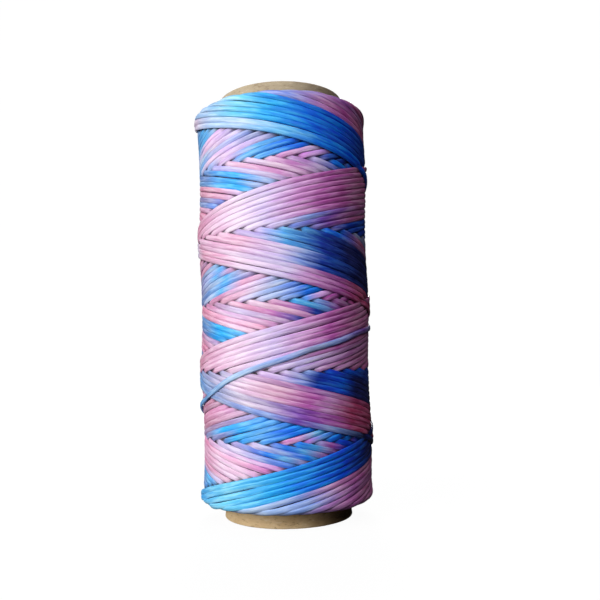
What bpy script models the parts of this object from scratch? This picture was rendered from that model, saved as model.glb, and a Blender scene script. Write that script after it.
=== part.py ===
"""Spool of waxed thread: a paperboard core, the cross-wound package on it, and the thread's loose tail.

Run with: blender --background --python part.py
Units are metres, +Z is up. The spool stands on its core: the origin is the middle of the core's foot.
Angles run round the axis from the front, -Y, towards the right, +X.
"""

import math

import bmesh
import bpy
import numpy as np

FIT_GAP = 0.0003  # kept between pieces that touch

# Core: a straight paperboard tube, open at both ends.
CORE_HEIGHT = 0.0790
CORE_RADIUS = 0.01175
CORE_WALL = 0.0015
CORE_RIM_ROUND = 0.00025
CORE_STEPS = 64

# Package: thread wound to and fro along the core, so that its turns cross.
PACKAGE_LOW = 0.0028
PACKAGE_HIGH = 0.0758
PACKAGE_RADIUS = 0.0158
SHOULDER_ROUND = 0.0014
END_SWELL = 0.0002  # extra thickness where the turns reverse
END_REACH = 0.008  # how far from each end it has faded away
LAY_RISE = 0.02447  # how far a turn climbs or falls in one revolution
NEWEST_RISING_TOP = 0.0112  # top edge of the newest rising turn, at the front
NEWEST_FALLING_FOOT = 0.0190  # lower edge of the newest falling turn, at the front
BAND_SWELL = 0.00025  # how far the newest turns stand proud of those beside them
BAND_EDGE = 0.0030  # height over which the band's open edge drops
BAND_FADE = 0.0095  # height over which the band fades back into the package
PACKAGE_STEPS = 64
SIDE_ROWS = 38
SHOULDER_ROWS = 4

# Tail: the last length, lying over the turns. Each row is a point that it passes.
TAIL_WIDTH = 0.0010
TAIL_POINTS = 64
TAIL_ROUTE = (
    # angle in degrees, height in millimetres
    (-262.0, 17.4),
    (-250.0, 17.9),
    (-230.0, 18.2),
    (-200.0, 18.2),
    (-170.0, 18.0),
    (-140.0, 18.0),
    (-120.0, 18.4),
    (-105.0, 19.1),
    (-95.0, 19.8),
    (-83.0, 21.0),
    (-72.0, 22.0),
    (-64.0, 22.8),
    (-52.0, 24.2),
    (-39.5, 26.0),
    (-29.0, 27.2),
    (-17.5, 28.3),
    (0.0, 29.8),
    (15.5, 31.2),
    (35.5, 32.6),
    (55.5, 34.1),
    (83.0, 35.2),
    (100.0, 35.6),
    (120.0, 35.9),
    (138.0, 36.0),
    (152.0, 35.9),
)


def clear_scene():
    """Removes what the file opened with."""
    for item in list(bpy.data.objects):
        bpy.data.objects.remove(item, do_unlink=True)


def plain_material(name, colour, roughness):
    """A Principled material of one colour."""
    made = bpy.data.materials.new(name)
    made.use_nodes = True
    shader = made.node_tree.nodes["Principled BSDF"]
    shader.inputs["Base Color"].default_value = (*colour, 1.0)
    shader.inputs["Roughness"].default_value = roughness
    shader.inputs["Metallic"].default_value = 0.0
    return made


def place(radius, angle, height):
    """Points at a radius, an angle from the front and a height."""
    sides = np.broadcast_arrays(radius * np.sin(angle), -radius * np.cos(angle), height)
    return np.stack(sides, axis=-1)


def ease(share):
    """A smooth step from 0 to 1."""
    return share * share * (3.0 - 2.0 * share)


def ring_object(name, points, made):
    """A closed ring of quads through points[row, step], where both directions run round to their start."""
    rows, steps = points.shape[:2]
    row, step = np.meshgrid(np.arange(rows), np.arange(steps), indexing="ij")
    next_row, next_step = (row + 1) % rows, (step + 1) % steps
    corners = (row * steps + step, row * steps + next_step,
               next_row * steps + next_step, next_row * steps + step)
    faces = np.stack(corners, axis=-1).reshape(-1, 4)
    mesh = bpy.data.meshes.new(name)
    mesh.from_pydata(points.reshape(-1, 3).tolist(), [], faces.tolist())
    shaped = bmesh.new()
    shaped.from_mesh(mesh)
    bmesh.ops.recalc_face_normals(shaped, faces=shaped.faces)
    shaped.to_mesh(mesh)
    shaped.free()
    mesh.materials.append(made)
    mesh.shade_smooth()
    mesh.set_sharp_from_angle(angle=math.radians(35.0))
    item = bpy.data.objects.new(name, mesh)
    bpy.context.scene.collection.objects.link(item)
    return item


def turned(profile, steps):
    """The points that a closed profile of (radius, height) rows sweeps round the axis."""
    radius, height = np.array(profile).T[:, :, None]
    angle = np.linspace(0.0, 2.0 * math.pi, steps, endpoint=False)[None, :]
    return place(radius, angle, height)


def rounded(corner_radius, corner_height, size, first_angle, rows):
    """A quarter arc of (radius, height) rows inside a corner, turning by 90 degrees from its first angle."""
    middle = first_angle + math.pi / 4.0
    centre_radius = corner_radius - math.copysign(size, math.cos(middle))
    centre_height = corner_height - math.copysign(size, math.sin(middle))
    angles = np.linspace(first_angle, first_angle + math.pi / 2.0, rows)
    return [(centre_radius + size * math.cos(a), centre_height + size * math.sin(a)) for a in angles]


def build_core(made):
    """The tube: a rectangle of wall with softened rims, turned about the axis."""
    inner = CORE_RADIUS - CORE_WALL
    corners = (
        # radius, height, angle at which its arc starts
        (CORE_RADIUS, 0.0, -math.pi / 2.0),
        (CORE_RADIUS, CORE_HEIGHT, 0.0),
        (inner, CORE_HEIGHT, math.pi / 2.0),
        (inner, 0.0, math.pi),
    )
    profile = []
    for radius, height, first_angle in corners:
        profile += rounded(radius, height, CORE_RIM_ROUND, first_angle, 3)
    return ring_object("core", turned(profile, CORE_STEPS), made)


def band_swell(inside_edge):
    """The newest turns' height over their neighbours, by how far a point lies inside their open edge.

    It is at its fullest at the edge, drops over BAND_EDGE outside it and fades over BAND_FADE inside it.
    The pattern repeats with every revolution of the lay.
    """
    inside = np.mod(inside_edge, LAY_RISE)
    fading = np.clip(inside / BAND_FADE, 0.0, 1.0)
    rising = np.clip((inside - LAY_RISE + BAND_EDGE) / BAND_EDGE, 0.0, 1.0)
    return BAND_SWELL * (1.0 - ease(fading) + ease(rising))


def package_radius(angle, height):
    """Radius of the package's side: a cylinder, thicker at its ends, with a rising and a falling band on it."""
    climb = LAY_RISE * angle / (2.0 * math.pi)
    rising_band = band_swell(NEWEST_RISING_TOP + climb - height)
    falling_band = band_swell(height - NEWEST_FALLING_FOOT + climb)
    from_end = np.minimum(height - PACKAGE_LOW, PACKAGE_HIGH - height)
    end_swell = END_SWELL * (1.0 - ease(np.clip(from_end / END_REACH, 0.0, 1.0)))
    return PACKAGE_RADIUS + end_swell + rising_band + falling_band


def build_package(made):
    """The wound package: one sleeve with round shoulders, whose side carries the crossing bands."""
    bore = CORE_RADIUS + FIT_GAP
    angle = np.linspace(0.0, 2.0 * math.pi, PACKAGE_STEPS, endpoint=False)[None, :]
    turn = np.linspace(0.0, math.pi / 2.0, SHOULDER_ROWS)
    side = np.linspace(PACKAGE_LOW + SHOULDER_ROUND, PACKAGE_HIGH - SHOULDER_ROUND, SIDE_ROWS)
    # Each row has a height, and how far the shoulder draws it in from the side.
    low_turn, high_turn = turn[:-1], turn[1:]
    height = np.concatenate([side[0] - SHOULDER_ROUND * np.cos(low_turn), side,
                             side[-1] + SHOULDER_ROUND * np.sin(high_turn)])[:, None]
    drawn_in = np.concatenate([SHOULDER_ROUND * (1.0 - np.sin(low_turn)), 0.0 * side,
                               SHOULDER_ROUND * (1.0 - np.cos(high_turn))])[:, None]
    outside = place(package_radius(angle, height) - drawn_in, angle, height)
    inside = turned([(bore, PACKAGE_HIGH), (bore, PACKAGE_LOW)], PACKAGE_STEPS)
    return ring_object("wound_thread", np.concatenate([outside, inside]), made)


def smooth_curve(knots, count):
    """Evenly spaced points on a Catmull-Rom curve through the knots."""
    ends = [2.0 * knots[0] - knots[1], *knots, 2.0 * knots[-1] - knots[-2]]
    dense = []
    for a, b, c, d in zip(ends, ends[1:], ends[2:], ends[3:]):
        for t in np.linspace(0.0, 1.0, 20, endpoint=False):
            dense.append(0.5 * (2.0 * b + (c - a) * t + (2.0 * a - 5.0 * b + 4.0 * c - d) * t**2
                                + (3.0 * b - a - 3.0 * c + d) * t**3))
    dense = np.array([*dense, knots[-1]])
    along = np.concatenate([[0.0], np.cumsum(np.linalg.norm(np.diff(dense, axis=0), axis=1))])
    at = np.linspace(0.0, along[-1], count)
    return np.stack([np.interp(at, along, dense[:, k]) for k in range(3)], axis=1)


def build_tail(made):
    """The tail: one round thread that lies on the package, a fit gap off its highest turns."""
    half = TAIL_WIDTH / 2.0
    around, beside = np.meshgrid(np.radians([-8.0, -4.0, 0.0, 4.0, 8.0]), np.linspace(-2.0, 2.0, 5) * half)
    knots = []
    for degrees, millimetres in TAIL_ROUTE:
        angle, height = math.radians(degrees), millimetres / 1000.0
        under = package_radius(angle + around, height + beside).max()
        knots.append(place(under + FIT_GAP + half, angle, height))
    curve = bpy.data.curves.new("thread_tail", "CURVE")
    curve.dimensions = "3D"
    curve.bevel_depth = half
    curve.bevel_resolution = 2
    curve.use_fill_caps = True
    spline = curve.splines.new("POLY")
    spline.points.add(TAIL_POINTS - 1)
    for point, at in zip(spline.points, smooth_curve(knots, TAIL_POINTS)):
        point.co = (*at, 1.0)
    curve.materials.append(made)
    item = bpy.data.objects.new("thread_tail", curve)
    bpy.context.scene.collection.objects.link(item)
    return item


def main():
    clear_scene()
    build_core(plain_material("paperboard", (0.62, 0.49, 0.34), 0.85))
    build_package(plain_material("waxed_thread", (0.66, 0.52, 0.74), 0.45))
    build_tail(plain_material("tail_thread", (0.45, 0.68, 0.86), 0.45))


main()
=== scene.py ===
"""Spool of waxed thread, as seen: a paperboard core cross-wound with flat dyed thread, and its loose tail.

Everything is in metres in the frame's own space: +Z up, the spool's axis on Z, its foot at the origin.
Angles are counted in turns or degrees round the axis from the front, -Y, towards the right, +X.
"""

import math

import bpy
import numpy as np
from mathutils import Matrix, Vector


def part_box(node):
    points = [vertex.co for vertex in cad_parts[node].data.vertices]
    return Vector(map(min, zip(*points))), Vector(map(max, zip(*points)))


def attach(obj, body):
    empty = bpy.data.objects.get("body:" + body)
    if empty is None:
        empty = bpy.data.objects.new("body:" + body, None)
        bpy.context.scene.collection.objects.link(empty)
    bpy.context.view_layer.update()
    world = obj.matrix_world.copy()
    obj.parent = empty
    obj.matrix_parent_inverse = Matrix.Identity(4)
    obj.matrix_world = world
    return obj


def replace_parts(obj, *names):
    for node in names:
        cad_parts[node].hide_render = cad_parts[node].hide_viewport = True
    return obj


MM = 0.001
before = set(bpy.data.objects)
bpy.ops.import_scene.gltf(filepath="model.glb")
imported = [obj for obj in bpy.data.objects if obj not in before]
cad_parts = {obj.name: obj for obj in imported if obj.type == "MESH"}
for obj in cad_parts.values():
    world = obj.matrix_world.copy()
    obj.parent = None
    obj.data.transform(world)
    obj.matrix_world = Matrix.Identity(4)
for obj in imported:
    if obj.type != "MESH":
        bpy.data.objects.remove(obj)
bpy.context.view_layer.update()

# The frame's own sizes.
CORE_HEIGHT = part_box("core")[1].z
CORE_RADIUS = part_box("core")[1].x
CORE_WALL = 1.5 * MM

# The camera's place: straight in front, a little below the spool's middle, tipped up and rolled slightly.
VIEW_DISTANCE = 132.0 * MM
VIEW_HEIGHT = 30.6 * MM
VIEW_TIP = math.radians(1.4)
VIEW_ROLL = math.radians(1.23)
VIEW_LENS = 41.1
VIEW_SHIFT = (0.0248, 0.0615)

# The lay: one thread carried up and down the core while it turns, so each stroke crosses the last.
PACKAGE_RADIUS = 16.0 * MM  # to the crown of the turns, on average
STROKES = 25  # double strokes that cover the package once
RISE = 24.47 * MM  # climb in one turn of the spool
SPACING = RISE / STROKES
NEWEST_RISING_TOP = 11.2 * MM  # upper edge of the newest rising thread at the front
NEWEST_FALLING_FOOT = 19.0 * MM  # lower edge of the newest falling thread at the front
HALF_LAYS = 5  # half rises between the lowest crossing ring and the upper reversal
TURNS_BACK = 0.052  # turns over which a stroke rounds off at its reversal
STEPS_PER_TURN = 200

# The thread itself, flat and waxed.
THREAD_WIDTH = 1.04 * MM
THREAD_THICKNESS = 0.5 * MM
LEVEL = 0.30 * MM  # how far a thread rises to pass over another
SHOULDER = 1.4 * MM


# ------------------------ small helpers


def ease(share):
    """A smooth step from 0 to 1 for a share that is held between them."""
    held = np.clip(share, 0.0, 1.0)
    return held * held * (3.0 - 2.0 * held)


def around(radius, turns, height):
    """Points at a radius, at a number of turns from the front, and at a height."""
    angle = 2.0 * np.pi * turns
    return np.stack(np.broadcast_arrays(radius * np.sin(angle), -radius * np.cos(angle), height), axis=-1)


def unit(vectors):
    """The same vectors, one long."""
    return vectors / np.linalg.norm(vectors, axis=-1, keepdims=True)


def smoothed(values, reach):
    """Values averaged with their neighbours under a raised cosine that reaches so many steps each way."""
    weights = 1.0 + np.cos(np.pi * np.arange(-reach, reach + 1) / (reach + 1.0))
    padded = np.pad(values, reach, mode="edge")
    return np.convolve(padded, weights / weights.sum(), mode="valid")


def distance_along(points):
    """How far along a path each of its points lies."""
    return np.concatenate([[0.0], np.cumsum(np.linalg.norm(np.diff(points, axis=0), axis=1))])


def read_between(at, places, values):
    """Columns of values, known at the places, read off in straight lines between them."""
    return np.stack([np.interp(at, places, column) for column in np.transpose(values)], axis=1)


def wander(turns, seed, periods, size):
    """A slow irregular drift along the thread: a sum of a few sines of uneven period and phase."""
    draw = np.random.default_rng(seed)
    drift = np.zeros_like(turns)
    for period in periods:
        drift += np.sin(2.0 * np.pi * (turns / (period * draw.uniform(0.8, 1.25)) + draw.uniform()))
    return size * drift / math.sqrt(len(periods) / 2.0)


def linear(colour):
    """A colour as it is named on screen, in light."""
    shown = np.asarray(colour, float)
    return np.where(shown <= 0.04045, shown / 12.92, ((shown + 0.055) / 1.055) ** 2.4)


def paint(*colour):
    """A colour as it is named on screen, for a shader's socket."""
    return (*linear(colour), 1.0)


# ------------------------ the lay of the thread

MIDDLE = 0.5 * (NEWEST_RISING_TOP + NEWEST_FALLING_FOOT)
APEX_HIGH = MIDDLE + HALF_LAYS * RISE / 2.0
APEX_LOW = MIDDLE + SPACING / 2.0 - RISE / 2.0
HALF_GAP = (NEWEST_FALLING_FOOT - NEWEST_RISING_TOP) / (2.0 * RISE)
BAND_FULL = 3.0  # threads from the newest edge over which its band keeps its height
BAND_GONE = 13.0  # threads from the newest edge at which it has sunk into the rest
STEP_HALF = 0.45  # half of the thread spacings over which a thread climbs onto another
STEP_OUT = 0.3  # spacings by which that climb lies outside the covering thread's edge
BLUNT_TURNS = 0.06  # turns from an apex within which the climbs are evened out
PILE = 1.1  # levels by which threads pile up just after a reversal
PILE_TURNS = 0.035
# Places where two threads have parted.
PARTED = (
    # whether they rise, the front they cross, threads to the gap, its start and end from there in turns
    (False, 4, 16.0, -0.15, -0.03),
    (False, 6, 15.0, -0.11, -0.045),
    (True, 0, 2.0, -0.19, -0.05),
)
PARTING = 0.1 * MM
PARTING_FADES = 0.02  # turns over which a gap opens and closes
PARTING_REACH = 2.0  # threads beside a gap over which they make room for it
FOOT_SAG = 0.42 * MM  # how far the lowest turns have slipped down
HEAD_SAG = 0.2 * MM
SAG_REACH = 2.5 * MM
MEAN_LEVEL = 0.64  # levels by which the turns stand proud on average
BASE_RADIUS = PACKAGE_RADIUS - THREAD_THICKNESS / 2.0 - MEAN_LEVEL * LEVEL
LOWEST = APEX_LOW + RISE * TURNS_BACK / 2.0 - THREAD_WIDTH / 2.0
HIGHEST = APEX_HIGH - RISE * TURNS_BACK / 2.0 + THREAD_WIDTH / 2.0


def climb(threads):
    """A smooth step up from 0 to 1 across an edge, by threads counted in from it."""
    return ease((threads + STEP_HALF) / (2.0 * STEP_HALF))


def band(threads_in):
    """How proud the newest threads stand, from 1 at their open edge to 0, by threads counted in from it."""
    sinking = 1.0 - ease((threads_in - BAND_FULL) / (BAND_GONE - BAND_FULL))
    return sinking * climb(threads_in) + climb(threads_in - STROKES)


def covering(threads_in, covers):
    """How far under a point lies, 1 where any of the newest threads up to that count crosses over it."""
    total = 0.0
    for lap in (-STROKES, 0, STROKES):
        total = total + climb(threads_in - lap + STEP_OUT) - climb(threads_in - lap - covers - STEP_OUT)
    return total


def rising_age(turns, height):
    """How many threads below the newest rising thread's upper edge a point lies, counted round the lay."""
    return np.mod((NEWEST_RISING_TOP + RISE * turns - height) / SPACING, STROKES)


def falling_age(turns, height):
    """How many threads above the newest falling thread's lower edge a point lies, counted round the lay."""
    return np.mod((height - NEWEST_FALLING_FOOT + RISE * turns) / SPACING, STROKES)


def rounded_off(turns):
    """Distance from a reversal's apex in turns, with the V at the apex rounded to a parabola."""
    near = TURNS_BACK / 2.0 + turns**2 / (2.0 * TURNS_BACK)
    return np.where(turns < TURNS_BACK, near, turns)


def shoulder_drop(height):
    """How far the round shoulders draw the package in, and their tilt, by height."""
    low = np.clip(1.0 - (height - LOWEST + FOOT_SAG) / SHOULDER, 0.0, 0.95)
    high = np.clip(1.0 - (HIGHEST - height - HEAD_SAG) / SHOULDER, 0.0, 0.95)
    drop = SHOULDER * (2.0 - np.sqrt(1.0 - low**2) - np.sqrt(1.0 - high**2))
    return drop, np.arcsin(high) - np.arcsin(low)


def lay_of_thread():
    """The thread's centreline through all its strokes, oldest first, as arrays with one value per step.

    A double stroke of age k starts at the lower apex, climbs RISE in each turn to the upper apex and comes
    down again, one thread short of six turns later. A rising thread of age k lies under the falling threads
    up to its own age and over the older ones. A falling thread lies over the rising threads of its own age
    and older.
    """
    age = np.arange(STROKES - 1, -1, -1)[:, None]
    start = HALF_GAP + (age + 1.0) / STROKES - 0.5
    end = HALF_GAP + age / STROKES + HALF_LAYS + 0.5
    apex = HALF_GAP + (age + 0.5) / STROKES + HALF_LAYS / 2.0
    steps = int(round((HALF_LAYS + 1.0 - 1.0 / STROKES) * STEPS_PER_TURN))
    turns = start + (end - start) * np.arange(steps)[None, :] / steps
    rising = turns < apex
    from_low = np.minimum(turns - start, end - turns)
    from_high = np.abs(turns - apex)
    height = np.where(from_low < from_high, APEX_LOW + RISE * rounded_off(from_low),
                      APEX_HIGH - RISE * rounded_off(from_high))
    straight = np.where(from_low < from_high, APEX_LOW + RISE * from_low, APEX_HIGH - RISE * from_high)
    up_age = np.where(rising, age + 0.5, rising_age(turns, straight))
    down_age = np.where(rising, falling_age(turns, straight), age + 0.5)
    covered = np.where(rising, covering(down_age, age + 1.0), covering(up_age, age + 0.0))
    since_turned = np.where(rising, turns - start, turns - apex)
    pile = PILE * since_turned / PILE_TURNS * np.exp(1.0 - since_turned / PILE_TURNS)
    level = (band(up_age) + band(down_age) - covered).ravel()
    blunt = (1.0 - ease(np.minimum(from_low, from_high) / BLUNT_TURNS)).ravel()
    covered = covered.ravel() * (1.0 - blunt)
    level += blunt * (smoothed(level, int(BLUNT_TURNS * STEPS_PER_TURN)) - level)
    run = turns + (HALF_LAYS + 1.0) * (STROKES - 1 - age)
    ages = np.broadcast_to(age, turns.shape)
    for goes_up, front, edge, left, right in PARTED:
        opened = ease((turns - front - left) / PARTING_FADES) * ease((front + right - turns) / PARTING_FADES)
        here = (rising == goes_up) * opened * (-1.0 if goes_up else 1.0)
        aside = age + 0.5 - edge
        height = height + PARTING * here * np.sign(aside) * np.exp(-np.abs(aside) / PARTING_REACH)
    height = (height - FOOT_SAG * np.exp(-(height - LOWEST) / SAG_REACH)
              - HEAD_SAG * np.exp(-(HIGHEST - height) / SAG_REACH))
    return {"turns": turns.ravel(), "height": height.ravel(), "level": level + pile.ravel(),
            "run": run.ravel(), "age": ages.ravel(), "rising": rising.ravel(), "covered": covered,
            "blunt": blunt}


# ------------------------ the dye

SHADES = {
    "white": (0.97, 0.89, 0.97),
    "pale": (0.96, 0.85, 0.94),
    "pink": (0.93, 0.74, 0.85),
    "rose": (0.90, 0.67, 0.77),
    "lilac": (0.89, 0.82, 0.98),
    "fog": (0.88, 0.82, 0.90),
    "ice": (0.74, 0.85, 0.98),
    "periwinkle": (0.60, 0.70, 0.96),
    "aqua": (0.53, 0.88, 1.0),
    "sky": (0.42, 0.78, 1.0),
    "cyan": (0.16, 0.73, 1.0),
    "blue": (0.03, 0.53, 1.0),
    "deep": (0.01, 0.38, 0.95),
    "navy": (0.10, 0.30, 0.75),
    "midnight": (0.09, 0.14, 0.44),
    "steel": (0.50, 0.68, 0.88),
    "slate": (0.64, 0.68, 0.84),
    "mauve": (0.88, 0.64, 0.88),
    "magenta": (0.80, 0.42, 0.76),
    "purple": (0.58, 0.38, 0.78),
    "plum": (0.80, 0.50, 0.70),
    "maroon": (0.82, 0.34, 0.54),
}
FULL_DYE = 0.86  # how much of the light the palest dye gives back
LIGHT = {name: FULL_DYE * linear(shade) for name, shade in SHADES.items()}

# The dye's patches in front, in coarse rows: one list for each pass of the thread across the front, from the
# lowest rising pass up, and from the highest falling pass down. A row has the first and last of the
# neighbouring threads that it is for, counted in from the newest, and the patches along them, each with the
# angle in degrees at which it is fullest.
RISING_DYE = (
    (
        (0, 4, "sky -70, aqua -40, cyan -10, blue 15, deep 40, midnight 65"),
        (5, 24, "ice -25, periwinkle 10, mauve 30, magenta 45, plum 60"),
    ),
    (
        (0, 6, "rose -75, pink -55, pale -30, lilac -5, mauve 15, magenta 30, plum 55"),
        (7, 14, "rose -60, pink -40, lilac 10, mauve 30, plum 60"),
        (15, 19, "slate -55, cyan -40, sky -20, blue 0"),
        (20, 24, "mauve 5, sky 20, blue 40"),
    ),
    (
        (0, 6, "rose -75, pink -55, white -30, lilac -10, mauve 10, magenta 30, plum 60"),
        (7, 9, "rose -70, lilac 0, periwinkle 10, purple 30, plum 55"),
        (10, 15, "slate -65, ice -50, sky -40, pink -20, navy 50"),
        (16, 20, "rose -60, pale -30, ice -10, blue 15"),
        (21, 24, "sky 10, lilac 20, magenta 35"),
    ),
    (
        (0, 10, "steel -80, sky -60, ice -45"),
        (11, 16, "ice -65, pale -50, lilac -30, slate -15"),
        (17, 19, "lilac -40, sky -20, blue 10"),
        (20, 24, "mauve 5, lilac 20, navy 40"),
    ),
)
FALLING_DYE = (
    (
        (0, 1, "fog -75, ice -50, ice -25, sky 0, blue 25, deep 55"),
        (2, 6, "ice -50, aqua -30, cyan -10, blue 15, deep 40, navy 65"),
        (7, 24, "periwinkle 5, mauve 30, magenta 45, plum 60"),
    ),
    (
        (0, 2, "fog -80, rose -65, pink -45, pale -25, lilac 0, mauve 15, magenta 35, maroon 55"),
        (3, 5, "pink -60, pink -30, lilac -5, periwinkle 10, navy 25, midnight 55"),
        (6, 9, "rose -70, lilac -15, sky 0, navy 25, midnight 45"),
        (10, 11, "slate -60, periwinkle -45, blue 40, plum 60"),
        (12, 13, "rose -65, pink -45, lilac -30, slate 55"),
        (14, 16, "steel -60, sky -45, cyan -30, ice -10"),
        (17, 24, "lilac -40, pale -15, mauve 10, lilac 25, blue 45"),
    ),
    (
        (0, 0, "steel -75, slate -45, periwinkle -10, purple 10, periwinkle 30, midnight 60"),
        (1, 2, "steel -80, slate -50, fog -25, purple 5, magenta 30, maroon 45"),
        (3, 6, "slate -60, pale -30, pink -10, magenta 15, mauve 25, maroon 45"),
        (7, 10, "rose -70, lilac -5, periwinkle 10, navy 20, deep 35, midnight 50"),
        (11, 13, "steel -65, cyan -50, sky -35, deep 45, navy 60"),
        (14, 20, "rose -60, pale -35, pink -10, mauve 5, navy 20"),
        (21, 24, "sky 10, periwinkle 25, magenta 40, plum 50"),
    ),
    (
        (0, 9, "steel -80, sky -65, slate -50"),
        (10, 16, "pink -65, pale -50, pale -30, mauve -10"),
        (17, 24, "pale -40, periwinkle -15, blue 0, sky 10, magenta 30, deep 45"),
    ),
)
TAIL_DYE = ("periwinkle -260, lilac -180, sky -110, steel -60, ice -30, periwinkle 0, slate 15, "
            "periwinkle 30, purple 60, slate 80, mauve 150")
# The dye's own order along the thread, kept at the back and on the end faces.
BACK_SHADES = "blue sky ice lilac pale pink rose mauve magenta periwinkle deep".split()
BACK_LIGHT = np.array([LIGHT[name] for name in BACK_SHADES])
FRONT_HELD = 0.24  # turns either side of the front over which a pass keeps its charted shades
BACK_AT = (0.37, 0.5, 0.63)  # turns after the front at which the back's shades are fullest
PLACE_ON, PASS_ON, GROUP_ON = 2, 3, 4  # shades further on at the next place, pass and group
THREAD_ON = 5  # and at the next thread, before its first pass
LEAD_IN = 0.2  # turns over which a thread's first shades come in
COHERENT = 9  # newest threads that share a shade at the back, in groups
SHARING = 5  # threads in such a group
FRESH = 6  # newest threads, which keep close to their row
STRAND_SHADES = "pale rose ice periwinkle lilac mauve sky".split()  # tints a thread leans to
FRESH_LEAN = 0.12
OLD_LEAN = 0.55
FRESH_SHIFT = 2.5  # degrees, how unevenly neighbouring threads start their patches
OLD_SHIFT = 6.0
STRENGTHS = (0.93, 1.05)  # of the dye, from the weakest thread to the strongest
EDGE_WANDER = 1.2 / 360.0  # turns by which the patches' edges wander
EVENED = 0.7  # share of the blunted turns over which the shades run together at a reversal
CHARTS = (
    # whether the thread rises, its rows, the front its first pass crosses, where the dye's order starts
    (True, RISING_DYE, 0, 2),
    (False, FALLING_DYE, 3, 7),
)
SHADED = 0.4  # painted shade: how much darker a thread is where it dives under others
SHADED_FROM, SHADED_OVER = 0.3, 0.5
NOTCH_SHADE = 0.5  # painted shade: how much darker still where they lie right over it
NOTCH_SHADE_FROM, NOTCH_SHADE_OVER = 0.88, 0.1


def stops_of(row, front, shift):
    """The turns and the colours of a row's shades, on the pass that crosses the front at front turns."""
    pairs = [stop.split() for stop in row.split(",")]
    places = [front + shift + float(angle) / 360.0 for _, angle in pairs]
    return places, [LIGHT[name] for name, _ in pairs]


def back_shade(place):
    """The shade at a place, or at each place, in the dye's own order, which starts again at its end."""
    return BACK_LIGHT[place % len(BACK_LIGHT)]


def dye_of_thread(passes, first_front, age, offset, draw):
    """One thread's shades over all its passes: the patches in front, and the dye's own order behind.

    Each thread starts its patches a little early or late and leans to a tint of its own, older ones more.
    """
    fresh = age < FRESH
    shift = draw.normal(0.0, FRESH_SHIFT if fresh else OLD_SHIFT) / 360.0
    places, colours = [], []
    for number, rows in enumerate(passes):
        front = first_front + number
        row = next(shades for first, last, shades in rows if first <= age <= last)
        at, shown = stops_of(row, front, shift)
        places += [front - FRONT_HELD, *at, front + FRONT_HELD]
        colours += [shown[0], *shown, shown[-1]]
        shared = age // SHARING if age < COHERENT else age
        for step, behind in enumerate(BACK_AT):
            places.append(front + behind)
            colours.append(back_shade(offset + PASS_ON * number + GROUP_ON * shared + PLACE_ON * step))
    first_behind = back_shade(offset + THREAD_ON * age)
    tint = LIGHT[STRAND_SHADES[draw.integers(len(STRAND_SHADES))]]
    lean = draw.uniform(0.0, FRESH_LEAN if fresh else OLD_LEAN)
    leaning = (1.0 - lean + lean * tint / tint.max()) * draw.uniform(*STRENGTHS)
    return [places[0] - LEAD_IN, *places], np.array([first_behind, *colours]) * leaning


def dye_and_shade_along(lay):
    """The dye at each step of the thread, with painted shade where the step lies under other threads.

    The patches' edges wander a little, and the shades are evened out near the reversals.
    """
    draw = np.random.default_rng(5)
    dye = np.empty((len(lay["turns"]), 3))
    at = lay["turns"] + wander(lay["run"], 3, (0.13, 0.29, 0.6), EDGE_WANDER)
    for rising, passes, first_front, offset in CHARTS:
        for age in range(STROKES):
            here = (lay["age"] == age) & (lay["rising"] == rising)
            places, colours = dye_of_thread(passes, first_front, age, offset, draw)
            dye[here] = read_between(at[here], places, colours)
    reach = int(EVENED * BLUNT_TURNS * STEPS_PER_TURN)
    even = np.stack([smoothed(dye[:, k], reach) for k in range(3)], axis=1)
    dye += ease(2.0 * lay["blunt"])[:, None] * (even - dye)
    # painted shade where the thread dives under others, and deeper painted shade in the notches right under
    # them
    shade_in_dive = ease((lay["covered"] - SHADED_FROM) / SHADED_OVER)
    shade_in_notch = ease((lay["covered"] - NOTCH_SHADE_FROM) / NOTCH_SHADE_OVER)
    return dye * (1.0 - SHADED * shade_in_dive - NOTCH_SHADE * shade_in_notch)[:, None]


# ------------------------ meshes


def piece_of(name, mesh, material, sharp=55.0):
    """A piece of the object from its mesh, smooth, riding on the one body."""
    mesh.materials.append(material)
    mesh.shade_smooth()
    mesh.set_sharp_from_angle(angle=math.radians(sharp))
    mesh.validate()
    piece = bpy.data.objects.new(name, mesh)
    bpy.context.scene.collection.objects.link(piece)
    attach(piece, "root")
    return piece


def dyed(mesh, dye, laid):
    """Gives each point of a mesh its dye, with any painted shade in it, and its place in the lay: along the
    thread, round it, which one.
    """
    shades = np.concatenate([dye, np.ones_like(dye[..., :1])], axis=-1).astype(np.float32)
    mesh.attributes.new("dye", "FLOAT_COLOR", "POINT").data.foreach_set("color", shades.ravel())
    places = laid.astype(np.float32).ravel()
    mesh.attributes.new("lay", "FLOAT_VECTOR", "POINT").data.foreach_set("vector", places)


def corners(left, right, low, high):
    """The four corners of each face in a bake map, in the face's own order."""
    return np.stack([np.stack(np.broadcast_arrays(*corner), axis=-1)
                     for corner in ((left, low), (right, low), (right, high), (left, high))], axis=-2)


def thread_profile():
    """The flat thread's outline: a squarish ellipse, with most of its points on the side that shows."""
    angle = np.radians([-28.0, 0.0, 28.0, 60.0, 90.0, 120.0, 152.0, 180.0, 208.0, 270.0])
    across = np.sign(np.cos(angle)) * np.abs(np.cos(angle)) ** SQUARENESS
    out = np.sign(np.sin(angle)) * np.abs(np.sin(angle)) ** SQUARENESS
    return across, out


TOP_OF_PROFILE = 4  # the profile's point on the outward crown
PROFILE_STEP = 0.26  # millimetres round the thread from one point of the profile to the next
SQUARENESS = 0.85  # 1 would make the profile an ellipse
MAP_EDGE = 0.002  # left free along the sides of a bake map
MAP_SPAN = 1.0 - 2.0 * MAP_EDGE
ROW_EDGE = 0.06  # left free at each side of a tube's row in its bake map, in rows
ROW_SPAN = 1.0 - 2.0 * ROW_EDGE


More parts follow.
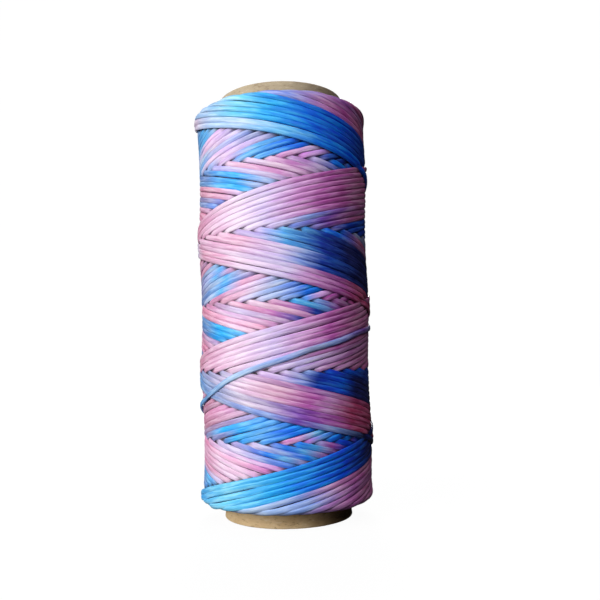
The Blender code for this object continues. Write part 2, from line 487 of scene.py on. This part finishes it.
def carried(name, centre, outward, width, thickness, turned, dye, laid, per_row, material):
    """Closed tubes: the thread's profile carried along each centreline, its flat side facing outward.

    centre and outward are [thread, step, xyz]. Each ring stands square to the path: side is outward crossed
    with the path's direction, and both are turned about the path by the angle in turned. width, thickness and
    turned are [thread, step], dye is [thread, step, rgb], and laid is [thread, step, 2]: millimetres along,
    and a number of the thread's own. The bake map lays one row of a tube under the next, per_row steps to a
    row, with the ends in the last row.
    """
    across, out = thread_profile()
    threads, count = centre.shape[:2]
    sides = len(across)
    along = unit(np.gradient(centre, axis=1))
    side = unit(np.cross(outward, along))
    up = np.cross(along, side)
    lean, stand = np.sin(turned)[..., None], np.cos(turned)[..., None]
    side, up = side * stand + up * lean, up * stand - side * lean
    rings = (centre[:, :, None, :] + side[:, :, None, :] * (across * width[..., None] / 2.0)[..., None]
             + up[:, :, None, :] * (out * thickness[..., None] / 2.0)[..., None])
    thread, ring, edge = np.indices((threads, count - 1, sides))
    near, far = (thread * count + ring) * sides, (edge + 1) % sides
    quads = np.stack([near + edge, near + sides + edge, near + sides + far, near + far], axis=-1)
    start = (np.arange(threads) * count * sides)[:, None]
    first = start + np.arange(sides)[None, :]
    last = start + (count - 1) * sides + np.arange(sides)[None, ::-1]
    mesh = bpy.data.meshes.new(name)
    mesh.from_pydata(rings.reshape(-1, 3).tolist(), [],
                     quads.reshape(-1, 4).tolist() + first.tolist() + last.tolist())

    rows_each = math.ceil((count - 1) / per_row)
    ends_each = per_row // 2
    rows = threads * rows_each + math.ceil(threads / ends_each)
    row, column = thread * rows_each + ring // per_row, ring % per_row
    left, right = MAP_EDGE + MAP_SPAN * column / per_row, MAP_EDGE + MAP_SPAN * (column + 1) / per_row
    low = (row + ROW_EDGE + ROW_SPAN * edge / sides) / rows
    high = (row + ROW_EDGE + ROW_SPAN * (edge + 1) / sides) / rows
    body = corners(left, right, low, high).reshape(-1, 2)
    disc = np.stack([across / per_row, out / rows], -1) * 0.4
    place = np.arange(threads)
    end_row = (rows - 0.5 - place // ends_each) / rows
    cell = (place % ends_each)[:, None]
    firsts = disc[None] + np.stack([(2.0 * cell[:, 0] + 0.5) / per_row, end_row], -1)[:, None, :]
    lasts = disc[None, ::-1] + np.stack([(2.0 * cell[:, 0] + 1.5) / per_row, end_row], -1)[:, None, :]
    bake = mesh.uv_layers.new(name="OFBake")
    bake.data.foreach_set("uv", np.concatenate([body, firsts.reshape(-1, 2), lasts.reshape(-1, 2)])
                          .astype(np.float32).ravel())

    round_it = (np.arange(sides) - TOP_OF_PROFILE) * PROFILE_STEP
    places = np.broadcast_arrays(laid[:, :, None, 0], round_it[None, None, :], laid[:, :, None, 1])
    dyed(mesh, np.repeat(dye[:, :, None, :], sides, axis=2), np.stack(places, axis=-1))
    return piece_of(name, mesh, material)


def revolved(name, points, material, dye=None, laid=None):
    """A closed surface through points[row, step], where both directions run round to their start."""
    rows, steps = points.shape[:2]
    row, step = np.indices((rows, steps))
    next_row, next_step = (row + 1) % rows, (step + 1) % steps
    quads = np.stack([row * steps + step, row * steps + next_step,
                      next_row * steps + next_step, next_row * steps + step], axis=-1).reshape(-1, 4)
    mesh = bpy.data.meshes.new(name)
    mesh.from_pydata(points.reshape(-1, 3).tolist(), [], quads.tolist())
    spread = corners(step / steps, (step + 1) / steps, row / rows, (row + 1) / rows)
    places = (MAP_EDGE + MAP_SPAN * spread).astype(np.float32)
    mesh.uv_layers.new(name="OFBake").data.foreach_set("uv", places.ravel())
    if dye is not None:
        dyed(mesh, dye, laid)
    return piece_of(name, mesh, material, sharp=70.0)


# ------------------------ materials


def add(tree, kind, **settings):
    """A new shader node with its settings."""
    node = tree.nodes.new("ShaderNode" + kind)
    for name, value in settings.items():
        setattr(node, name, value)
    return node


def feed(tree, sockets, terms):
    """Links each term that is a socket, and sets each one that is a value."""
    for socket, term in zip(sockets, terms):
        if isinstance(term, bpy.types.NodeSocket):
            tree.links.new(term, socket)
        else:
            socket.default_value = term


def reckon(tree, operation, *terms):
    """The result of a Math node."""
    node = add(tree, "Math", operation=operation)
    feed(tree, node.inputs, terms)
    return node.outputs[0]


def ramp(tree, value, low, high, to_low=0.0, to_high=1.0):
    """A value moved smoothly from one range to another."""
    node = add(tree, "MapRange", interpolation_type="SMOOTHSTEP")
    feed(tree, node.inputs, (value, low, high, to_low, to_high))
    return node.outputs[0]


def mixed(tree, kind, share, first, second):
    """Two colours mixed by a share, in one of the Mix node's ways."""
    node = add(tree, "Mix", data_type="RGBA", blend_type=kind)
    named = {socket.identifier: socket for socket in node.inputs}
    feed(tree, (named["Factor_Float"], named["A_Color"], named["B_Color"]), (share, first, second))
    return next(socket for socket in node.outputs if socket.identifier == "Result_Color")


def noise(tree, place, scale, detail=2.0, roughness=0.5):
    """A noise value at a place."""
    node = add(tree, "TexNoise")
    tree.links.new(place, node.inputs["Vector"])
    node.inputs["Detail"].default_value = detail
    node.inputs["Roughness"].default_value = roughness
    feed(tree, (node.inputs["Scale"],), (scale,))
    return node.outputs["Fac"]


def stretched(tree, place, scales):
    """A place with each of its axes scaled."""
    node = add(tree, "VectorMath", operation="MULTIPLY")
    tree.links.new(place, node.inputs[0])
    node.inputs[1].default_value = scales
    return node.outputs[0]


def group(name, inputs, outputs):
    """A new shader node group with float sockets, and its two end nodes."""
    tree = bpy.data.node_groups.new(name, "ShaderNodeTree")
    for label, value in inputs:
        tree.interface.new_socket(label, in_out="INPUT", socket_type="NodeSocketFloat").default_value = value
    for label in outputs:
        tree.interface.new_socket(label, in_out="OUTPUT", socket_type="NodeSocketFloat")
    return tree, tree.nodes.new("NodeGroupInput").outputs, tree.nodes.new("NodeGroupOutput").inputs


def placed(tree, made, **values):
    """A group placed in a material with its own values, as its outputs."""
    node = add(tree, "Group", node_tree=made)
    for label, value in values.items():
        feed(tree, (node.inputs[label.replace("_", " ")],), (value,))
    return node.outputs


def filament_group():
    """Filaments along the thread: their relief, wide streaks of stronger and weaker dye, and the grooves."""
    tree, given, put = group("filaments", (("Fineness", 1.0), ("Groove", 0.5)),
                             ("Relief", "Streak", "Groove"))
    lay = add(tree, "Attribute", attribute_name="lay").outputs["Vector"]
    fine = noise(tree, stretched(tree, lay, (0.22, 5.0, 3.1)), given["Fineness"], 4.0, 0.65)
    wide = noise(tree, stretched(tree, lay, (0.3, 2.6, 5.7)), given["Fineness"], 2.0)
    parted = add(tree, "SeparateXYZ")
    tree.links.new(lay, parted.inputs[0])
    aside = reckon(tree, "ABSOLUTE", parted.outputs[1])
    relief = reckon(tree, "ADD", reckon(tree, "MULTIPLY", fine, 0.6), reckon(tree, "MULTIPLY", wide, 0.4))
    feed(tree, put, (relief, wide, ramp(tree, aside, given["Groove"], 0.95)))
    return tree


def patch_group():
    """Soft uneven patches over a surface, from 0 to 1, by their scale and how sharply they are told apart."""
    tree, given, put = group("patches", (("Scale", 200.0), ("Sharpness", 0.5)), ("Mask",))
    place = add(tree, "TexCoord").outputs["Object"]
    value = noise(tree, place, given["Scale"], 4.0, 0.55)
    reach = reckon(tree, "MULTIPLY", reckon(tree, "SUBTRACT", 1.0, given["Sharpness"]), 0.4)
    low, high = reckon(tree, "SUBTRACT", 0.5, reach), reckon(tree, "ADD", 0.5, reach)
    feed(tree, put, (ramp(tree, value, low, high),))
    return tree


def fibre_group():
    """Short pulp fibres in paperboard: light and dark flecks that lie mostly round the tube."""
    tree, given, put = group("fibres", (("Scale", 1.0),), ("Light", "Dark"))
    place = add(tree, "TexCoord").outputs["Object"]
    bent = add(tree, "VectorMath", operation="ADD")
    tree.links.new(stretched(tree, place, (900.0, 900.0, 2600.0)), bent.inputs[0])
    warp = add(tree, "TexNoise")
    tree.links.new(place, warp.inputs["Vector"])
    warp.inputs["Scale"].default_value = 700.0
    tree.links.new(warp.outputs["Color"], bent.inputs[1])
    fine = noise(tree, bent.outputs[0], given["Scale"], 3.0, 0.6)
    feed(tree, put, (ramp(tree, fine, 0.56, 0.72), ramp(tree, fine, 0.44, 0.30)))
    return tree


def material_of(name):
    """A new material, with its tree and its Principled shader."""
    made = bpy.data.materials.new(name)
    made.use_nodes = True
    return made, made.node_tree, made.node_tree.nodes["Principled BSDF"]


def bumped(tree, shader, height, strength, distance):
    """Relief on a shader's normal."""
    node = add(tree, "Bump")
    node.inputs["Strength"].default_value = strength
    node.inputs["Distance"].default_value = distance
    tree.links.new(height, node.inputs["Height"])
    tree.links.new(node.outputs["Normal"], shader.inputs["Normal"])


def thread_material(name, filaments, patches, groove_shade, fineness):
    """Waxed thread: the dye in streaks along the filaments, with painted shade in the grooves, under thin
    uneven wax.
    """
    made, tree, shader = material_of(name)
    fibre = placed(tree, filaments, Fineness=fineness, Groove=0.42)
    wax = placed(tree, patches, Scale=420.0, Sharpness=0.2)
    dye = add(tree, "Attribute", attribute_name="dye").outputs["Color"]
    strength = add(tree, "Gamma")
    feed(tree, strength.inputs, (dye, ramp(tree, fibre["Streak"], 0.34, 0.66, 0.78, 1.3)))
    # painted shade in the grooves between threads: the dye deepened and dimmed towards each thread's edges
    deep = mixed(tree, "MULTIPLY", 1.0, dye, dye)
    dark = mixed(tree, "MULTIPLY", 1.0, deep, (0.66, 0.56, 0.74, 1.0))
    groove_shaded = mixed(tree, "MIX", reckon(tree, "MULTIPLY", fibre["Groove"], groove_shade),
                    strength.outputs[0], dark)
    bloom = reckon(tree, "MULTIPLY", wax["Mask"], 0.012)
    tree.links.new(mixed(tree, "MIX", bloom, groove_shaded, (0.9, 0.88, 0.92, 1.0)), shader.inputs["Base Color"])
    rough = reckon(tree, "ADD", reckon(tree, "MULTIPLY", wax["Mask"], 0.14), 0.4)
    tree.links.new(reckon(tree, "ADD", rough, reckon(tree, "MULTIPLY", fibre["Relief"], 0.12)),
                   shader.inputs["Roughness"])
    shader.inputs["Specular IOR Level"].default_value = 0.28
    shader.inputs["Coat Weight"].default_value = 0.05
    shader.inputs["Coat Roughness"].default_value = 0.35
    bumped(tree, shader, fibre["Relief"], 0.7, 0.16 * MM)
    return made


def paperboard_material(patches, fibres):
    """Kraft paperboard: blotched brown pulp with light and dark fibres, greyer with height.

    One side, towards +X, is darkened with painted shade, most at the foot.
    """
    made, tree, shader = material_of("paperboard")
    blotch = placed(tree, patches, Scale=260.0, Sharpness=0.1)["Mask"]
    fibre = placed(tree, fibres, Scale=1.0)
    pulp = mixed(tree, "MIX", blotch, paint(0.88, 0.77, 0.60), paint(0.74, 0.61, 0.43))
    parted = add(tree, "SeparateXYZ")
    tree.links.new(add(tree, "TexCoord").outputs["Object"], parted.inputs[0])
    aged = ramp(tree, parted.outputs[2], 20.0 * MM, 70.0 * MM, 0.0, 0.7)
    board = mixed(tree, "MIX", aged, pulp, paint(0.62, 0.59, 0.52))
    # painted shade on the side towards +X, strongest at the foot
    aside = ramp(tree, parted.outputs[0], 1.0 * MM, 11.0 * MM)
    side_shade = reckon(tree, "MULTIPLY", aside, ramp(tree, parted.outputs[2], 0.0, 60.0 * MM, 0.85, 0.45))
    side_shaded = mixed(tree, "MULTIPLY", side_shade, board, (0.32, 0.26, 0.22, 1.0))
    lit = mixed(tree, "MIX", reckon(tree, "MULTIPLY", fibre["Light"], 0.35), side_shaded, paint(0.90, 0.84, 0.72))
    flecked = mixed(tree, "MIX", reckon(tree, "MULTIPLY", fibre["Dark"], 0.45), lit, paint(0.42, 0.33, 0.22))
    tree.links.new(flecked, shader.inputs["Base Color"])
    shader.inputs["Specular IOR Level"].default_value = 0.3
    rough = reckon(tree, "ADD", reckon(tree, "MULTIPLY", blotch, 0.12), 0.78)
    tree.links.new(rough, shader.inputs["Roughness"])
    height = reckon(tree, "SUBTRACT", reckon(tree, "ADD", fibre["Light"], blotch), fibre["Dark"])
    bumped(tree, shader, height, 0.5, 0.06 * MM)
    return made


# ------------------------ pieces

TURN_PIECES = 4
DRIFT = 0.055 * MM  # how far a thread strays from its place
WIDTH_DRIFT = 0.045  # share by which its width and thickness vary
LEAN = math.radians(7.0)  # how far it tips about its own length


def wound_turns(material):
    """The turns that show, each a flat thread, in lengths that follow on from each other."""
    lay = lay_of_thread()
    run = lay["run"]
    radius = BASE_RADIUS + LEVEL * lay["level"]
    drop, tilt = shoulder_drop(lay["height"])
    drift = wander(run, 11, (0.31, 0.7, 1.6, 3.1), DRIFT)
    centre = around(radius - drop, lay["turns"], lay["height"] + drift)
    flat = around(1.0, lay["turns"], 0.0 * drop)
    outward = flat * np.cos(tilt)[:, None] + np.array([0.0, 0.0, 1.0]) * np.sin(tilt)[:, None]
    width = THREAD_WIDTH * (1.0 + wander(run, 12, (0.23, 0.9, 2.3), WIDTH_DRIFT))
    thickness = THREAD_THICKNESS * (1.0 + wander(run, 14, (0.37, 1.3), WIDTH_DRIFT))
    turned = wander(run, 13, (0.19, 0.47, 1.1), LEAN)
    dye = dye_and_shade_along(lay)
    laid = np.stack([distance_along(centre) / MM, lay["age"] * 1.0], axis=-1)
    made = []
    for number in range(TURN_PIECES):
        first = number * (len(run) - 1) // TURN_PIECES
        last = (number + 1) * (len(run) - 1) // TURN_PIECES
        part = (None, slice(first, last + 1))
        made.append(carried(f"turns_{number + 1}", centre[part], outward[part], width[part], thickness[part],
                            turned[part], dye[part], laid[part], STEPS_PER_TURN, material))
    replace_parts(made[0], "wound_thread")
    return made


UNDER_RADIUS = BASE_RADIUS - 0.5 * MM
UNDER_DEPTH = 1.5 * MM  # how far the older turns lie inside the package's two ends
UNDER_RIDGE = 0.09 * MM
UNDER_DARK = 0.4  # share of the light that reaches them
CORE_FIT = 0.12 * MM
UNDER_STEPS = 240
UNDER_ROWS = 240
CORNER_ROWS = 6
UNDER_SHARED = 4.0  # neighbouring threads that share a shade
UNDER_CHANGES = 4.0  # changes of shade in one turn
UNDER_ON = 3  # shades further on at the next such bundle
UNDER_GIRTH = 96.0  # millimetres of thread in one turn


def under_turns(material):
    """The older turns below: a sleeve with a ridge for each thread, its ends hidden by the reversals."""
    low, high = LOWEST + UNDER_DEPTH, HIGHEST - UNDER_DEPTH
    side = np.linspace(low, high, UNDER_ROWS)
    bore = CORE_RADIUS + CORE_FIT
    outward = bore + (UNDER_RADIUS - bore) * np.linspace(0.0, 1.0, CORNER_ROWS)[:-1]
    radius = np.concatenate([outward, np.full(len(side), UNDER_RADIUS), outward[::-1]])
    height = np.concatenate([np.full(len(outward), low), side, np.full(len(outward), high)])
    turns = np.arange(UNDER_STEPS)[None, :] / UNDER_STEPS
    age = rising_age(turns, height[:, None])
    ridge = UNDER_RIDGE * np.abs(np.sin(np.pi * age)) * (radius == UNDER_RADIUS)[:, None]
    points = around(radius[:, None] + ridge, turns, height[:, None])
    bundle, stretch = np.floor(age / UNDER_SHARED), np.floor(UNDER_CHANGES * turns)
    dye = back_shade(bundle.astype(int) * UNDER_ON + stretch.astype(int)) * UNDER_DARK
    places = np.broadcast_arrays(turns * UNDER_GIRTH, np.mod(age, 1.0) - 0.5, np.floor(age))
    laid = np.stack(places, axis=-1)
    return revolved("under_turns", points, material, dye, laid)


END_RADII = (12.33, 12.86, 13.4, 13.92, 14.42, 14.9)  # millimetres, of the rings on the end faces
END_REACH = 0.1  # turns of each reversal built either side of its apex
END_STEPS = 21
END_THICKNESS = 0.46 * MM
END_TIP = math.radians(16.0)  # how far the arcs face up or down
END_OVER = 0.11 * MM  # how far each arc's second half lies over its first
END_CROSSES = 0.02  # turns beside the apex over which it climbs there
END_SINK = 0.15  # millimetres that ring END_MIDDLE lies inside the package's end
END_DISH = 0.12  # and that each ring away from it lies deeper
END_MIDDLE = 2.0
END_UNEVEN = 0.1  # most that one arc lies deeper still, in millimetres
END_STRAY = 0.09  # spread of their places round the ring, in arcs
END_SHIFT = 0.03  # spread of their radius, in millimetres
END_LEAN = 0.08  # spread of their tip, in radians
END_SHARED = 4  # arcs that share a shade
END_NUMBERS = 31.0  # numbers in the lay kept for each ring


def end_turns(material):
    """The reversals of the older layers at the two ends: rings of short arcs, each turning back at its apex.

    Each arc falls away from its apex by RISE in a turn, and its second half lies one level over its first.
    """
    draw = np.random.default_rng(23)
    step = np.linspace(-END_REACH, END_REACH, END_STEPS)
    made = []
    for name, end, way in (("end_turns_low", LOWEST, 1.0), ("end_turns_high", HIGHEST, -1.0)):
        centre, outward, dye, laid = [], [], [], []
        for ring, millimetres in enumerate(END_RADII):
            offset = draw.uniform()
            sink = (END_SINK + END_DISH * abs(ring - END_MIDDLE)) * MM
            shade = draw.integers(len(BACK_LIGHT))
            for number in range(STROKES):
                turns = (number + offset + draw.normal(0.0, END_STRAY)) / STROKES + step
                height = end + way * (sink + draw.uniform(0.0, END_UNEVEN) * MM + THREAD_WIDTH / 2.0
                                      + RISE * (rounded_off(np.abs(step)) - TURNS_BACK / 2.0))
                over = np.clip(step / END_CROSSES, -1.0, 1.0) * END_OVER
                radius = millimetres * MM + over + draw.normal(0.0, END_SHIFT) * MM
                centre.append(around(radius, turns, height))
                outward.append(around(math.cos(END_TIP), turns, -way * math.sin(END_TIP)))
                dye.append(np.repeat(back_shade(shade + number // END_SHARED)[None], END_STEPS, axis=0))
                along = step * 2.0 * np.pi * millimetres
                laid.append(np.stack([along, np.full(END_STEPS, END_NUMBERS * ring + number)], axis=-1))
        centre, outward, dye, laid = (np.array(rows) for rows in (centre, outward, dye, laid))
        full = np.ones(centre.shape[:2])
        turned = draw.normal(0.0, END_LEAN, (len(centre), 1)) * full
        made.append(carried(name, centre, outward, THREAD_WIDTH * full, END_THICKNESS * full, turned, dye,
                            laid, END_STEPS - 1, material))
    return made


CORE_STEPS = 300
CORE_ROWS = 90
ROUND_POINTS = 5  # of the mesh over one rounded edge
FACE_POINTS = 9  # and across the flat of a rim
RIM_ROUND = 0.25 * MM
FOOT_FLARE = 0.38 * MM  # how far the standing rim is pressed out
FLARE_REACH = 3.0 * MM
CORE_SPIRAL = 46.0 * MM  # climb of the outer ply's spiral joint in one turn
JOINT_WIDTH = 0.22 * MM
JOINT_DEPTH = 0.07 * MM
RIM_REACH = 0.7 * MM  # from a rim, over which its wear dies away
WEAR = 0.035 * MM
WEAR_WAVES = (3, 7, 13, 22, 37, 61)  # round the rim
WORN_IN = 0.5  # share of the wear that thins the wall
WORN_DOWN = 0.6  # share that lowers the rim
PLY_RELIEF = 0.025 * MM
PLIES = 4


def core_tube(material):
    """The paperboard tube: a rectangle of wall turned round the axis, its rims rounded and worn.

    The plies' spiral joint is a shallow groove, depth exp(-(distance / JOINT_WIDTH)^2). The columns of the
    mesh climb with it, so that it runs along one of them.
    """
    inner = CORE_RADIUS - CORE_WALL
    quarter = np.linspace(0.0, np.pi / 2.0, ROUND_POINTS)
    rising, sinking = RIM_ROUND * np.sin(quarter), RIM_ROUND * np.cos(quarter)
    wall = np.linspace(RIM_ROUND, CORE_HEIGHT - RIM_ROUND, CORE_ROWS)[1:-1]
    crossing = np.linspace(CORE_RADIUS - RIM_ROUND, inner + RIM_ROUND, FACE_POINTS)[1:-1]
    outside, inside, top = CORE_RADIUS - RIM_ROUND, inner + RIM_ROUND, CORE_HEIGHT - RIM_ROUND
    radius = np.concatenate([outside + rising, np.full(len(wall), CORE_RADIUS), outside + sinking, crossing,
                             inside - rising, np.full(len(wall), inner), inside - sinking,
                             crossing[::-1]])[:, None]
    height = np.concatenate([RIM_ROUND - sinking, wall, top + rising, np.full(len(crossing), CORE_HEIGHT),
                             top + sinking, wall[::-1], RIM_ROUND - rising,
                             np.zeros(len(crossing))])[:, None]
    column = np.arange(CORE_STEPS)[None, :] / CORE_STEPS
    turns = column + height / CORE_SPIRAL
    aside = np.minimum(column, 1.0 - column) * 2.0 * np.pi * CORE_RADIUS
    joint = JOINT_DEPTH * np.exp(-(aside / JOINT_WIDTH) ** 2)
    from_end = np.minimum(height, CORE_HEIGHT - height)
    near_rim = np.exp(-from_end / RIM_REACH)
    wear = np.zeros_like(turns)
    draw = np.random.default_rng(41)
    for waves in WEAR_WAVES:
        wear = wear + np.cos(2.0 * np.pi * (waves * turns + draw.uniform())) / waves**0.5
    worn = np.abs(WEAR * wear * near_rim)
    plies = PLY_RELIEF * np.cos(2.0 * np.pi * (CORE_RADIUS - radius) * PLIES / CORE_WALL) * near_rim
    inward = np.where(radius > 0.5 * (CORE_RADIUS + inner), -1.0, 1.0)
    flare = FOOT_FLARE * np.exp(-height / FLARE_REACH)
    at_end = np.where(height < CORE_HEIGHT / 2.0, 1.0, -1.0)
    on_rim = (from_end < RIM_ROUND / 2.0) & (radius < CORE_RADIUS - RIM_ROUND / 2.0)
    lift = at_end * np.where(on_rim, WORN_DOWN * worn + np.abs(plies), 0.0)
    points = around(radius + flare + inward * (joint + WORN_IN * worn), turns, height + lift)
    return revolved("core_tube", points, material)


# The tail's route, as in the frame: it leaves the newest rising turn, runs round the back, climbs the front.
TAIL_ROUTE = (
    # angle in degrees, height in millimetres
    (-262.0, 17.4),
    (-250.0, 17.9),
    (-230.0, 18.2),
    (-200.0, 18.2),
    (-170.0, 18.0),
    (-140.0, 18.0),
    (-120.0, 18.4),
    (-105.0, 19.1),
    (-95.0, 19.8),
    (-83.0, 21.0),
    (-72.0, 22.0),
    (-64.0, 22.8),
    (-52.0, 24.2),
    (-39.5, 26.0),
    (-29.0, 27.2),
    (-17.5, 28.3),
    (0.0, 29.8),
    (15.5, 31.2),
    (35.5, 32.6),
    (55.5, 34.1),
    (83.0, 35.2),
    (100.0, 35.6),
    (120.0, 35.9),
    (138.0, 36.0),
    (152.0, 35.9),
)
TAIL_STEPS = 480
TAIL_PER_ROW = 240  # steps in a row of its bake map
BETWEEN_KNOTS = 40  # points first found on a smooth curve between knots
TAIL_WIDTH = 1.0 * MM
TAIL_THICKNESS = 0.5 * MM
TAIL_STANDS = 0.3 * MM  # how far the tail bows out from the turns at the left
TAIL_STANDS_AT = -78.0  # degrees
TAIL_STANDS_REACH = 14.0
TAIL_SUNK = 0.18 * MM  # how far it presses into the turns under it
TAIL_BURIED = 0.25 * MM  # how much deeper it starts
TAIL_EMERGES = 0.05  # share of its length over which it comes out
TAIL_TAPER = 0.006  # share of its length over which its end closes
TAIL_TIP = 0.4  # width of the end, as a share of the thread's
TAIL_LEAN = math.radians(9.0)
TAIL_NUMBER = 77.0  # its own number in the lay


def smooth_curve(knots, count):
    """Evenly spaced points on a Catmull-Rom curve through the knots."""
    ends = np.array([2.0 * knots[0] - knots[1], *knots, 2.0 * knots[-1] - knots[-2]])
    a, b, c, d = (ends[k:len(ends) - 3 + k, None, :] for k in range(4))
    t = np.linspace(0.0, 1.0, BETWEEN_KNOTS, endpoint=False)[None, :, None]
    dense = 0.5 * (2.0 * b + (c - a) * t + (2.0 * a - 5.0 * b + 4.0 * c - d) * t**2
                   + (3.0 * b - a - 3.0 * c + d) * t**3)
    dense = np.concatenate([dense.reshape(-1, knots.shape[1]), knots[-1:]])
    along = distance_along(dense)
    return read_between(np.linspace(0.0, along[-1], count), along, dense)


def loose_tail(material):
    """The loose last length of the thread: the same flat profile, laid on the crowns of the turns."""
    angle, millimetres = np.array(TAIL_ROUTE).T
    knots = np.stack([np.radians(angle) * PACKAGE_RADIUS, millimetres * MM], axis=1)
    unrolled = smooth_curve(knots, TAIL_STEPS)
    turns, height = unrolled[:, 0] / (2.0 * np.pi * PACKAGE_RADIUS), unrolled[:, 1]
    under = band(rising_age(turns, height)) + band(falling_age(turns, height))
    crown = BASE_RADIUS + THREAD_THICKNESS / 2.0 + LEVEL * smoothed(under, 5)
    share = np.linspace(0.0, 1.0, TAIL_STEPS)
    buried = TAIL_BURIED * (1.0 - ease(share / TAIL_EMERGES))
    aloof = TAIL_STANDS * np.exp(-((turns * 360.0 - TAIL_STANDS_AT) / TAIL_STANDS_REACH) ** 2)
    radius = crown + TAIL_THICKNESS / 2.0 - TAIL_SUNK - buried + aloof
    centre = around(radius, turns, height)
    outward = around(1.0, turns, 0.0 * turns)
    places, colours = stops_of(TAIL_DYE, 0.0, 0.0)
    dye = read_between(turns, places, colours)
    past = np.clip(1.0 - (1.0 - share) / TAIL_TAPER, 0.0, 1.0)
    closing = np.sqrt(np.clip(1.0 - past**2, TAIL_TIP**2, 1.0))
    length = distance_along(centre)[-1]
    laid = np.stack([share * length / MM, np.full(TAIL_STEPS, TAIL_NUMBER)], axis=1)
    turned = wander(share, 31, (0.07, 0.19, 0.5), TAIL_LEAN)
    tail = carried("loose_tail", centre[None], outward[None], (TAIL_WIDTH * closing)[None],
                   (TAIL_THICKNESS * closing)[None], turned[None], dye[None], laid[None], TAIL_PER_ROW,
                   material)
    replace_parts(tail, "thread_tail")
    return tail


# ------------------------ stage, light and camera


def stage_material():
    """Pale paper: bright to the camera, a little dimmer close to the spool as a painted shadow, and dim in
    the light that it throws back at the spool.
    """
    made = bpy.data.materials.new("pale_ground")
    made.use_nodes = True
    tree = made.node_tree
    tree.nodes.clear()
    seen = add(tree, "LightPath").outputs["Is Camera Ray"]
    bright, paper = add(tree, "Emission"), add(tree, "BsdfDiffuse")
    far = add(tree, "VectorMath", operation="LENGTH")
    tree.links.new(add(tree, "TexCoord").outputs["Object"], far.inputs[0])
    # painted shadow: the paper's glow dims a little within a few centimetres of the spool
    tree.links.new(ramp(tree, far.outputs["Value"], 0.03, 0.16, 0.96, 1.0), bright.inputs["Strength"])
    paper.inputs["Color"].default_value = (0.05, 0.05, 0.05, 1.0)
    both, chosen, out = add(tree, "AddShader"), add(tree, "MixShader"), add(tree, "OutputMaterial")
    feed(tree, both.inputs, (bright.outputs[0], paper.outputs[0]))
    feed(tree, chosen.inputs, (seen, paper.outputs[0], both.outputs[0]))
    tree.links.new(chosen.outputs[0], out.inputs["Surface"])
    return made


def pale_stage():
    """Floor and backdrop in one: a bowl turned round the axis, flat to 0.5 m, then curving up to a wall."""
    turn = np.linspace(0.0, np.pi / 2.0, 16)
    radius = np.concatenate([[0.0005, 0.1, 0.3], 0.5 + 0.35 * np.sin(turn), [0.85]])
    height = np.concatenate([[0.0, 0.0, 0.0], 0.35 - 0.35 * np.cos(turn), [1.3]]) - 0.00005
    steps = 96
    turns = np.arange(steps)[None, :] / steps
    points = around(radius[:, None], turns, height[:, None])
    row, step = np.indices((len(radius) - 1, steps))
    near, far = (step + 1) % steps, (row + 1) * steps
    quads = np.stack([row * steps + step, row * steps + near, far + near, far + step], axis=-1).reshape(-1, 4)
    mesh = bpy.data.meshes.new("pale_ground")
    middle = list(range(steps))[::-1]
    mesh.from_pydata(points.reshape(-1, 3).tolist(), [], quads.tolist() + [middle])
    mesh.materials.append(stage_material())
    mesh.shade_smooth()
    ground = bpy.data.objects.new("pale_ground", mesh)
    bpy.context.scene.collection.objects.link(ground)


LAMPS = (
    # name, azimuth from the front and elevation in degrees, distance and size in metres, power in watts
    ("key", -49.0, 15.0, 0.45, 0.3, 2.4),
    ("front", 6.0, 42.0, 0.5, 0.3, 1.05),
    ("behind", 178.0, 25.0, 0.45, 0.16, 2.0),
)
LAMPS_AIM = Vector((0.0, 0.0, 0.04))  # the spool's middle
WORLD_GLOW = 0.02


def area_light(name, azimuth, elevation, distance, size, power):
    """A soft square light at an azimuth from the front and an elevation, aimed at the spool's middle."""
    up = math.radians(elevation)
    place = Vector(around(math.cos(up) * distance, azimuth / 360.0, math.sin(up) * distance))
    data = bpy.data.lights.new(name, "AREA")
    data.energy = power
    data.size = size
    lamp = bpy.data.objects.new(name, data)
    lamp.location = place + LAMPS_AIM
    lamp.rotation_euler = (-place).to_track_quat("-Z", "Y").to_euler()
    lamp.visible_camera = False
    bpy.context.scene.collection.objects.link(lamp)


def set_light():
    """A soft key from the front left, so the right falls dark, and one behind for the far side."""
    for lamp in LAMPS:
        area_light(*lamp)
    world = bpy.data.worlds.new("world")
    bpy.context.scene.world = world
    world.use_nodes = True
    world.node_tree.nodes["Background"].inputs["Strength"].default_value = WORLD_GLOW


def set_camera():
    """The camera, from its place, tip and roll."""
    data = bpy.data.cameras.new("camera")
    data.lens = VIEW_LENS
    data.sensor_width = 36.0
    data.shift_x, data.shift_y = VIEW_SHIFT
    data.clip_start = 0.01
    camera = bpy.data.objects.new("camera", data)
    turned = Matrix.Rotation(math.pi / 2.0 + VIEW_TIP, 4, "X") @ Matrix.Rotation(-VIEW_ROLL, 4, "Z")
    camera.matrix_world = Matrix.Translation((0.0, -VIEW_DISTANCE, VIEW_HEIGHT)) @ turned
    bpy.context.scene.collection.objects.link(camera)
    bpy.context.scene.camera = camera


def main():
    """Everything in the scene, the pieces last."""
    bpy.context.scene.view_settings.view_transform = "Standard"
    set_camera()
    set_light()
    pale_stage()
    filaments, patches, fibres = filament_group(), patch_group(), fibre_group()
    thread = thread_material("waxed_thread", filaments, patches, groove_shade=0.1, fineness=1.0)
    wound_turns(thread)
    under_turns(thread)
    end_turns(thread)
    loose_tail(thread_material("loose_thread", filaments, patches, groove_shade=0.2, fineness=1.2))
    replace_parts(core_tube(paperboard_material(patches, fibres)), "core")


main()
